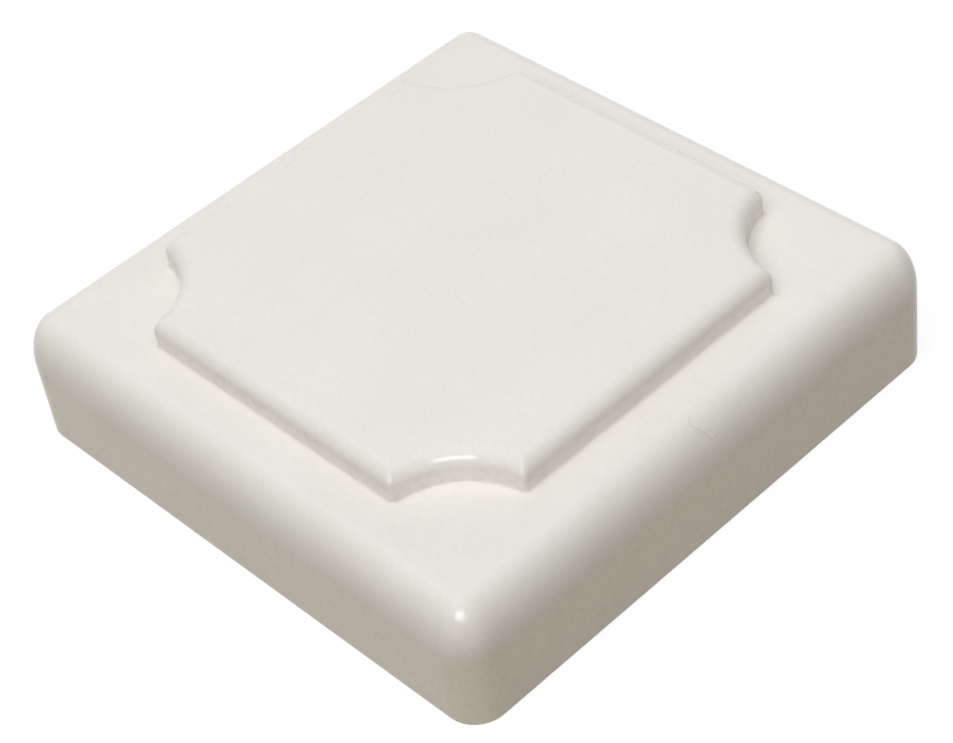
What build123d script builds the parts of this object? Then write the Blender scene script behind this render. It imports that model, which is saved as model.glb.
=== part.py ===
from build123d import *
import os

# A square door-casing rosette, lying on its flat back with +Z up.
# The origin is the centre of the back. All sizes are in millimetres.

# Driving dimensions: the block
block_side = 80.0
ledge_height = 17.7
roundover_inset = 4.0
roundover_drop = 6.8
ledge_corner_radius = 0.2
ledge_margin = 8.4

# Driving dimensions: the raised panel with its scooped corners
scoop_radius = 11.7
scoop_centre_outside = 1.1
panel_wall_height = 2.3
panel_edge_radius = 2.1
ridge_radius = 0.6
crease_radius = 0.3
top_skim = 0.01

# Sizes that follow from them
half_block = block_side / 2
shoulder_height = ledge_height - roundover_drop
corner_radius = ledge_corner_radius + roundover_inset
corner_axis = half_block - corner_radius
half_panel = half_block - ledge_margin
panel_side = 2 * half_panel
panel_wall_top = ledge_height + panel_wall_height
panel_top = panel_wall_top + panel_edge_radius
scoop_centre = half_panel + scoop_centre_outside


def block_section(outer):
    """Half section from the Z axis out to the flat side: upright side, elliptic roundover, ledge."""
    with BuildSketch(Plane.XZ) as section:
        with BuildLine():
            Polyline((0, ledge_height), (0, 0), (outer, 0), (outer, shoulder_height))
            EllipticalCenterArc(
                (outer - roundover_inset, shoulder_height),
                roundover_inset,
                roundover_drop,
                start_angle=0,
                arc_size=90,
            )
            Line((outer - roundover_inset, ledge_height), (0, ledge_height))
        make_face()
    return section.sketch


def panel_section():
    """Half section of the panel, from the Z axis out: upright wall and a rounded top edge."""
    with BuildSketch(Plane.XZ) as section:
        with BuildLine():
            Polyline((0, panel_top), (0, 0), (half_panel, 0), (half_panel, panel_wall_top))
            CenterArc((half_panel - panel_edge_radius, panel_wall_top), panel_edge_radius, 0, 90)
            Line((half_panel - panel_edge_radius, panel_top), (0, panel_top))
        make_face()
    return section.sketch


def scoop_section():
    """Half section of what a scoop takes away: it flares out where the panel's top edge is rounded."""
    flare_radius = scoop_radius + panel_edge_radius
    with BuildSketch(Plane.XZ) as section:
        with BuildLine():
            Polyline((0, panel_top), (0, -1), (scoop_radius, -1), (scoop_radius, panel_wall_top))
            CenterArc((flare_radius, panel_wall_top), panel_edge_radius, 90, 90)
            Line((flare_radius, panel_top), (0, panel_top))
        make_face()
    return section.sketch


# One side of the block reaches from the middle to its flat face, with a turned corner at its end.
side = Pos(0, corner_axis, 0) * extrude(block_section(half_block), 2 * corner_axis)
corner = Pos(corner_axis, corner_axis, 0) * revolve(block_section(corner_radius), Axis.Z)
quarter = side + corner
block = quarter
for turn in (90, 180, 270):
    block += Rot(0, 0, turn) * quarter

# The panel is the overlap of two crossing strips with rounded top edges.
half_strip = Pos(0, half_panel, 0) * extrude(panel_section(), panel_side)
strip = half_strip + Rot(0, 0, 180) * half_strip
panel = strip & (Rot(0, 0, 90) * strip)

# Each corner of the panel is scooped away about an upright axis just outside it.
scoop = Pos(scoop_centre, scoop_centre, 0) * revolve(scoop_section(), Axis.Z)
for turn in (0, 90, 180, 270):
    panel -= Rot(0, 0, turn) * scoop

# The ridges where scoops meet straight walls are eased, mitres in the rounded edge included.
ridges = panel.edges().filter_by(Axis.Z)
panel = fillet(ridges, ridge_radius)

# The top is skimmed flat by a hair, so each eased ridge runs out on a clean edge.
skim = Box(panel_side, panel_side, panel_edge_radius, align=(Align.CENTER, Align.CENTER, Align.MIN))
panel -= Pos(0, 0, panel_top - top_skim) * skim

# The panel grows out of the ledge through a small fillet in the crease.
rosette = block + panel
crease = [
    edge
    for edge in rosette.edges().filter_by_position(Axis.Z, ledge_height, ledge_height)
    if max(abs(edge.center().X), abs(edge.center().Y)) < half_panel + ridge_radius
]
rosette = fillet(crease, crease_radius)

os.makedirs("parts", exist_ok=True)
export_step(rosette, "parts/rosette_block.step")
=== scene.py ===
import math

import bpy
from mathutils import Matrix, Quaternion, Vector

# Lengths are in metres, angles in degrees and colours linear, unless a name says otherwise.

# The camera, placed by the point of the ledge that it looks at
CAMERA_TARGET = (0.012926, -0.010444, 0.0177)
CAMERA_DISTANCE = 0.297871
CAMERA_AZIMUTH = 51.75
CAMERA_ELEVATION = 42.615
CAMERA_ROLL = -9.345
CAMERA_LENS_MM = 96.19
SENSOR_WIDTH_MM = 36.0
CAMERA_CLIP = (0.01, 20.0)

# The studio: how far off its lamps hang, its light from all round, and its paper floor
LAMP_DISTANCE = 1.5
WHITE = (1.0, 1.0, 1.0, 1.0)
AMBIENT_COLOUR = (1.0, 0.995, 0.98, 1.0)
AMBIENT_STRENGTH = 0.14
FLOOR_HALF_SIDE = 3.0
FLOOR_GAP = 0.0001
BOUNCE_COLOUR = (0.12, 0.085, 0.015, 1.0)
SHADE_COLOUR = (0.22, 0.22, 0.22, 1.0)
GLOW_STRENGTH = (0.81, 1.0)
GLOW_REACH = (0.15, 0.7)

# The paint: two creams that mottle it, tints for its grain and for the blotches on its walls, and
# painted shade on the flat sides and in the crease
CREAM_LIGHT = (0.805, 0.785, 0.737, 1.0)
CREAM_DEEP = (0.787, 0.763, 0.711, 1.0)
GRAIN_TINT = (0.972, 0.970, 0.965, 1.0)
BLOTCH_TINT = (0.940, 0.935, 0.925, 1.0)
SIDE_PAINTED_SHADE = (0.985, 0.960, 0.875, 1.0)
CREASE_PAINTED_SHADE = (0.985, 0.98, 0.97, 1.0)

# The roughness of its gloss, and how much duller it is in places
GLOSS_ROUGHNESS = (0.10, 0.17)
DULL_ROUGHNESS_RISE = 0.10

# The size of each kind of unevenness in the paint, and the height of those that can be felt
MOTTLE_SIZE = 0.014
GRAIN_SIZE = 0.0006
BLOTCH_SIZE = 0.0011
SMEAR_SIZE = 0.006
PEEL_SIZE = 0.0013
PEEL_HEIGHT = 0.0000035
SANDING_SIZE = 0.0004
SANDING_STRETCH = 9.0
SANDING_HEIGHT = 0.000004
NIB_SPACING = 0.0045
NIB_RADIUS_IN_SPACINGS = 0.03
NIB_HEIGHT = 0.00002

# The part of a noise's values that is spread over the full range: a narrower part gives more contrast
SOFT_CONTRAST = (0.3, 0.7)
CRISP_CONTRAST = (0.35, 0.65)
BLOTCH_CONTRAST = (0.45, 0.65)

# Where parts of the shape lie: the top of the flat sides, the ledge, and the panel's walls and scoops
SIDE_TOP = 0.0109
SIDE_TOP_SOFTNESS = 0.0016
SIDE_TOP_WAVE = 0.0003
LEDGE_HEIGHT = 0.0177
WALL_TOP = 0.0200
PANEL_HALF_SIDE = 0.0316
SCOOP_CENTRE = 0.0327
SCOOP_RADIUS = 0.0117
CREASE_REACH = 0.0005

# A fibre caught in the paint where the ledge turns down on the right, as the points that it runs through
FIBRE_POINTS = [
    (0.03715, -0.00039, 0.01741),
    (0.03788, -0.00100, 0.01690),
    (0.03870, -0.00031, 0.01591),
    (0.03904, 0.00020, 0.01532),
    (0.03946, 0.00058, 0.01432),
    (0.03952, 0.00118, 0.01413),
    (0.03941, 0.00202, 0.01446),
]
FIBRE_WIDTH = 0.00008
FIBRE_TINT = (0.90, 0.87, 0.83, 1.0)


def look_direction(azimuth, elevation):
    """The way from the object to a viewer. Azimuth 0 is in front, on -Y, and 90 is on +X."""
    a = math.radians(azimuth)
    e = math.radians(elevation)
    return Vector((math.sin(a) * math.cos(e), -math.cos(a) * math.cos(e), math.sin(e)))


def add_camera():
    back = look_direction(CAMERA_AZIMUTH, CAMERA_ELEVATION)
    data = bpy.data.cameras.new("camera")
    data.lens = CAMERA_LENS_MM
    data.sensor_width = SENSOR_WIDTH_MM
    data.clip_start, data.clip_end = CAMERA_CLIP
    camera = bpy.data.objects.new("camera", data)
    camera.location = Vector(CAMERA_TARGET) + CAMERA_DISTANCE * back
    roll = Quaternion((0.0, 0.0, 1.0), math.radians(CAMERA_ROLL))
    camera.rotation_mode = "QUATERNION"
    camera.rotation_quaternion = (-back).to_track_quat("-Z", "Y") @ roll
    bpy.context.scene.collection.objects.link(camera)
    bpy.context.scene.camera = camera


def add_softbox(name, azimuth, elevation, width, height, watts, in_gloss=False):
    """A white rectangular lamp that faces the block and lights it, or else only shows in its gloss."""
    direction = look_direction(azimuth, elevation)
    data = bpy.data.lights.new(name, "AREA")
    data.shape = "RECTANGLE"
    data.size = width
    data.size_y = height
    data.energy = watts
    lamp = bpy.data.objects.new(name, data)
    lamp.location = direction * LAMP_DISTANCE
    lamp.rotation_mode = "QUATERNION"
    lamp.rotation_quaternion = direction.to_track_quat("Z", "Y")
    lamp.visible_glossy = in_gloss
    lamp.visible_diffuse = not in_gloss
    bpy.context.scene.collection.objects.link(lamp)


def feed(tree, value, socket):
    """Gives a node's input its value, which is another node's output or plain numbers."""
    if isinstance(value, bpy.types.NodeSocket):
        tree.links.new(value, socket)
    else:
        socket.default_value = value


def calculate(tree, operation, first, second):
    node = tree.nodes.new("ShaderNodeMath")
    node.operation = operation
    feed(tree, first, node.inputs[0])
    feed(tree, second, node.inputs[1])
    return node.outputs[0]


def product(tree, first, *others):
    for other in others:
        first = calculate(tree, "MULTIPLY", first, other)
    return first


def calculate_vector(tree, operation, first, second, output="Vector"):
    node = tree.nodes.new("ShaderNodeVectorMath")
    node.operation = operation
    feed(tree, first, node.inputs[0])
    feed(tree, second, node.inputs[1])
    return node.outputs[output]


def axes_of(tree, vector):
    """The parts of a vector, by the names X, Y and Z."""
    node = tree.nodes.new("ShaderNodeSeparateXYZ")
    tree.links.new(vector, node.inputs[0])
    return node.outputs


def remap(tree, value, start, stop, low=0.0, high=1.0, smooth=False):
    """Maps the range from start to stop onto low to high, held at its ends."""
    node = tree.nodes.new("ShaderNodeMapRange")
    node.interpolation_type = "SMOOTHSTEP" if smooth else "LINEAR"
    tree.links.new(value, node.inputs["Value"])
    node.inputs["From Min"].default_value = start
    node.inputs["From Max"].default_value = stop
    node.inputs["To Min"].default_value = low
    node.inputs["To Max"].default_value = high
    return node.outputs["Result"]


def noise(tree, coordinates, size, detail=2.0):
    """Soft noise, as a value about 0.5, with bumps of the given size."""
    node = tree.nodes.new("ShaderNodeTexNoise")
    tree.links.new(coordinates, node.inputs["Vector"])
    node.inputs["Scale"].default_value = 1.0 / size
    node.inputs["Detail"].default_value = detail
    return node.outputs["Fac"]


def blend(tree, amount, first, second, mode="MIX"):
    """Mixes two colours. In the mode MULTIPLY, the second one tints the first."""
    node = tree.nodes.new("ShaderNodeMix")
    node.data_type = "RGBA"
    node.blend_type = mode
    tree.links.new(amount, node.inputs["Factor"])
    colours = [socket for socket in node.inputs if socket.type == "RGBA"]
    feed(tree, first, colours[0])
    feed(tree, second, colours[1])
    return [socket for socket in node.outputs if socket.type == "RGBA"][0]


def seen_directly(tree):
    """1 for rays from the camera, in mirror reflections and through glass, else 0."""
    rays = tree.nodes.new("ShaderNodeLightPath").outputs
    seen = calculate(tree, "MAXIMUM", rays["Is Glossy Ray"], rays["Is Transmission Ray"])
    return calculate(tree, "MAXIMUM", rays["Is Camera Ray"], seen)


def show_instead(tree, lighting, shown, out):
    """Lights the block with one shader, and shows another to the camera and in reflections."""
    mix = tree.nodes.new("ShaderNodeMixShader")
    tree.links.new(seen_directly(tree), mix.inputs[0])
    tree.links.new(lighting.outputs[0], mix.inputs[1])
    tree.links.new(shown.outputs[0], mix.inputs[2])
    tree.links.new(mix.outputs[0], out.inputs["Surface"])


def add_world():
    """Soft light from all round, which the camera and reflections see as plain white."""
    world = bpy.data.worlds.new("studio")
    world.use_nodes = True
    tree = world.node_tree
    tree.nodes.clear()
    ambient = tree.nodes.new("ShaderNodeBackground")
    ambient.inputs["Color"].default_value = AMBIENT_COLOUR
    ambient.inputs["Strength"].default_value = AMBIENT_STRENGTH
    white = tree.nodes.new("ShaderNodeBackground")
    white.inputs["Color"].default_value = WHITE
    out = tree.nodes.new("ShaderNodeOutputWorld")
    show_instead(tree, ambient, white, out)
    bpy.context.scene.world = world


def paper_material():
    """White paper with a faint shadow, which fades into the background and throws back little light."""
    material = bpy.data.materials.new("paper")
    material.use_nodes = True
    tree = material.node_tree
    tree.nodes.clear()
    bounce = tree.nodes.new("ShaderNodeBsdfDiffuse")
    bounce.inputs["Color"].default_value = BOUNCE_COLOUR
    shade = tree.nodes.new("ShaderNodeBsdfDiffuse")
    shade.inputs["Color"].default_value = SHADE_COLOUR
    coordinates = tree.nodes.new("ShaderNodeTexCoord").outputs["Object"]
    from_block = calculate_vector(tree, "DISTANCE", coordinates, (0.0, 0.0, 0.0), "Value")
    glow = tree.nodes.new("ShaderNodeEmission")
    tree.links.new(remap(tree, from_block, *GLOW_REACH, *GLOW_STRENGTH), glow.inputs["Strength"])
    white = tree.nodes.new("ShaderNodeAddShader")
    tree.links.new(glow.outputs[0], white.inputs[0])
    tree.links.new(shade.outputs[0], white.inputs[1])
    out = tree.nodes.new("ShaderNodeOutputMaterial")
    show_instead(tree, bounce, white, out)
    return material


def add_floor():
    half = FLOOR_HALF_SIDE
    corners = [(-half, -half, 0.0), (half, -half, 0.0), (half, half, 0.0), (-half, half, 0.0)]
    mesh = bpy.data.meshes.new("floor")
    mesh.from_pydata(corners, [], [(0, 1, 2, 3)])
    mesh.materials.append(paper_material())
    floor = bpy.data.objects.new("floor", mesh)
    floor.location.z = -FLOOR_GAP
    bpy.context.scene.collection.objects.link(floor)


def flat_side_mask(tree, coordinates):
    """1 on the flat sides and 0 above the foot of the roundover, with a soft and slightly wavy limit."""
    z = axes_of(tree, coordinates)["Z"]
    mottle = noise(tree, coordinates, MOTTLE_SIZE)
    wave = remap(tree, mottle, *SOFT_CONTRAST, -SIDE_TOP_WAVE, SIDE_TOP_WAVE)
    height = calculate(tree, "ADD", z, wave)
    lower = SIDE_TOP - SIDE_TOP_SOFTNESS
    upper = SIDE_TOP + SIDE_TOP_SOFTNESS
    return remap(tree, height, lower, upper, 1.0, 0.0, smooth=True)


def wall_mask(tree, coordinates):
    """1 on the panel's upright walls, which the spray coats unevenly, and 0 elsewhere."""
    z = axes_of(tree, coordinates)["Z"]
    above_ledge = remap(tree, z, LEDGE_HEIGHT, LEDGE_HEIGHT + CREASE_REACH)
    below_edge = remap(tree, z, WALL_TOP, WALL_TOP + CREASE_REACH, 1.0, 0.0)
    return product(tree, above_ledge, below_edge)


def crease_mask(tree, coordinates):
    """1 in the crease round the panel, where shade is painted, and 0 away from it."""
    mirrored = calculate_vector(tree, "ABSOLUTE", coordinates, (0.0, 0.0, 0.0))
    axes = axes_of(tree, mirrored)
    farther_axis = calculate(tree, "MAXIMUM", axes["X"], axes["Y"])
    past_wall = calculate(tree, "SUBTRACT", farther_axis, PANEL_HALF_SIDE)
    plan = calculate_vector(tree, "MULTIPLY", mirrored, (1.0, 1.0, 0.0))
    scoop_axis = (SCOOP_CENTRE, SCOOP_CENTRE, 0.0)
    from_scoop_axis = calculate_vector(tree, "DISTANCE", plan, scoop_axis, "Value")
    past_scoop = calculate(tree, "SUBTRACT", SCOOP_RADIUS, from_scoop_axis)
    outside = calculate(tree, "MAXIMUM", past_wall, past_scoop)
    near_wall = remap(tree, outside, 0.0, CREASE_REACH, 1.0, 0.0, smooth=True)
    crease_top = LEDGE_HEIGHT + CREASE_REACH
    near_ledge = remap(tree, axes["Z"], LEDGE_HEIGHT, crease_top, 1.0, 0.0, smooth=True)
    above_sides = calculate(tree, "GREATER_THAN", axes["Z"], LEDGE_HEIGHT - CREASE_REACH)
    return product(tree, near_wall, near_ledge, above_sides)


def distance_to_segment(tree, coordinates, start, end):
    """How far a point of the surface is from the nearest point between two ends."""
    span = Vector(end) - Vector(start)
    offset = calculate_vector(tree, "SUBTRACT", coordinates, start)
    share = calculate_vector(tree, "DOT_PRODUCT", offset, span / span.length_squared, "Value")
    nearest = tree.nodes.new("ShaderNodeVectorMath")
    nearest.operation = "SCALE"
    nearest.inputs[0].default_value = span
    tree.links.new(remap(tree, share, 0.0, 1.0), nearest.inputs["Scale"])
    return calculate_vector(tree, "DISTANCE", offset, nearest.outputs["Vector"], "Value")


def fibre_mask(tree, coordinates):
    """1 along the fibre and 0 off it."""
    # The least distance starts from one that is more than any on the block.
    gap = 1.0
    for start, end in zip(FIBRE_POINTS, FIBRE_POINTS[1:]):
        gap = calculate(tree, "MINIMUM", gap, distance_to_segment(tree, coordinates, start, end))
    return remap(tree, gap, 0.5 * FIBRE_WIDTH, FIBRE_WIDTH, 1.0, 0.0, smooth=True)


def enamel_colour(tree, coordinates, side, wall, crease, fibre):
    """A soft mottle of two creams under a fine grain, with blotches on the walls, a fibre, and painted
    shade, darker and warmer, on the flat sides and in the crease.
    """
    mottle = remap(tree, noise(tree, coordinates, MOTTLE_SIZE), *SOFT_CONTRAST)
    grain = remap(tree, noise(tree, coordinates, GRAIN_SIZE, detail=3.0), *CRISP_CONTRAST)
    blotches = remap(tree, noise(tree, coordinates, BLOTCH_SIZE, detail=3.0), *BLOTCH_CONTRAST)
    tints = [
        (grain, GRAIN_TINT),
        (product(tree, grain, side), GRAIN_TINT),
        (product(tree, blotches, wall), BLOTCH_TINT),
        # Painted shade: the flat sides are darker and warmer than the roundover above them.
        (side, SIDE_PAINTED_SHADE),
        # Painted shade: a faint darker, warmer line in the crease round the panel.
        (crease, CREASE_PAINTED_SHADE),
        (fibre, FIBRE_TINT),
    ]
    cream = blend(tree, mottle, CREAM_DEEP, CREAM_LIGHT)
    for amount, tint in tints:
        cream = blend(tree, amount, cream, tint, "MULTIPLY")
    return cream


def enamel_roughness(tree, coordinates, side, wall, crease):
    """Gloss with faint smears, duller on the flat sides, on the panel's walls and in the crease."""
    smudges = noise(tree, coordinates, SMEAR_SIZE, detail=4.0)
    smears = remap(tree, smudges, *CRISP_CONTRAST, *GLOSS_ROUGHNESS)
    dull = calculate(tree, "MAXIMUM", calculate(tree, "MAXIMUM", side, wall), crease)
    return calculate(tree, "ADD", smears, product(tree, dull, DULL_ROUGHNESS_RISE))


def sanding_marks(tree, coordinates):
    """Fine noise that is thin along Z and drawn out along the flat sides."""
    squeeze = tree.nodes.new("ShaderNodeMapping")
    tree.links.new(coordinates, squeeze.inputs["Vector"])
    squeeze.inputs["Scale"].default_value = (1.0, 1.0, SANDING_STRETCH)
    return noise(tree, squeeze.outputs["Vector"], SANDING_STRETCH * SANDING_SIZE, detail=3.0)


def nibs(tree, coordinates):
    """Small round specks, where one of many scattered points happens to lie near the surface."""
    cells = tree.nodes.new("ShaderNodeTexVoronoi")
    tree.links.new(coordinates, cells.inputs["Vector"])
    cells.inputs["Scale"].default_value = 1.0 / NIB_SPACING
    from_point = cells.outputs["Distance"]
    return remap(tree, from_point, 0.0, NIB_RADIUS_IN_SPACINGS, NIB_HEIGHT, 0.0, smooth=True)


def enamel_relief(tree, coordinates, side, fibre):
    """Normals of the sprayed coat: orange peel, sanding on the flat sides, a few nibs and the fibre."""
    height = product(tree, noise(tree, coordinates, PEEL_SIZE), PEEL_HEIGHT)
    sanding = product(tree, sanding_marks(tree, coordinates), side, SANDING_HEIGHT)
    hair = product(tree, fibre, NIB_HEIGHT)
    for rise in (sanding, nibs(tree, coordinates), hair):
        height = calculate(tree, "ADD", height, rise)
    bump = tree.nodes.new("ShaderNodeBump")
    bump.inputs["Distance"].default_value = 1.0
    tree.links.new(height, bump.inputs["Height"])
    return bump.outputs["Normal"]


def enamel_material():
    """Cream enamel, sprayed in several coats over a smooth board and rubbed down between them."""
    material = bpy.data.materials.new("cream_enamel")
    material.use_nodes = True
    tree = material.node_tree
    tree.nodes.clear()
    coordinates = tree.nodes.new("ShaderNodeTexCoord").outputs["Object"]
    side = flat_side_mask(tree, coordinates)
    wall = wall_mask(tree, coordinates)
    crease = crease_mask(tree, coordinates)
    fibre = fibre_mask(tree, coordinates)
    colour = enamel_colour(tree, coordinates, side, wall, crease, fibre)
    roughness = enamel_roughness(tree, coordinates, side, wall, crease)
    normal = enamel_relief(tree, coordinates, side, fibre)
    shader = tree.nodes.new("ShaderNodeBsdfPrincipled")
    tree.links.new(colour, shader.inputs["Base Color"])
    tree.links.new(roughness, shader.inputs["Roughness"])
    tree.links.new(normal, shader.inputs["Normal"])
    out = tree.nodes.new("ShaderNodeOutputMaterial")
    tree.links.new(shader.outputs[0], out.inputs["Surface"])
    return material


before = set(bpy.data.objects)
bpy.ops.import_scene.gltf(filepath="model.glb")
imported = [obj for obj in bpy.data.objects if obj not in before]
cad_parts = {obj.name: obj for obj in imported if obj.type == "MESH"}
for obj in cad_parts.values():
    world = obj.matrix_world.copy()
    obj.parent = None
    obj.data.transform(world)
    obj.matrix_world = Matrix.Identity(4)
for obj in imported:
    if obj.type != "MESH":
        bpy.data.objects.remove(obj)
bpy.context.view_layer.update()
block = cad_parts["rosette_block"]
block.material_slots[0].material = enamel_material()

add_camera()
add_world()
add_floor()

# Four lamps light the block. The fifth only shows in its gloss, as a bright window would.
add_softbox("key", azimuth=27.0, elevation=69.0, width=1.8, height=1.8, watts=26.3)
add_softbox("front_fill", azimuth=40.0, elevation=29.0, width=0.3, height=0.3, watts=1.6)
add_softbox("right_fill", azimuth=135.0, elevation=35.0, width=0.8, height=0.8, watts=1.1)
add_softbox("back_fill", azimuth=225.0, elevation=14.0, width=1.4, height=0.6, watts=5.5)
add_softbox("highlight", azimuth=40.0, elevation=30.0, width=0.9, height=0.6, watts=9.5, in_gloss=True)

bpy.context.scene.view_settings.view_transform = "Standard"
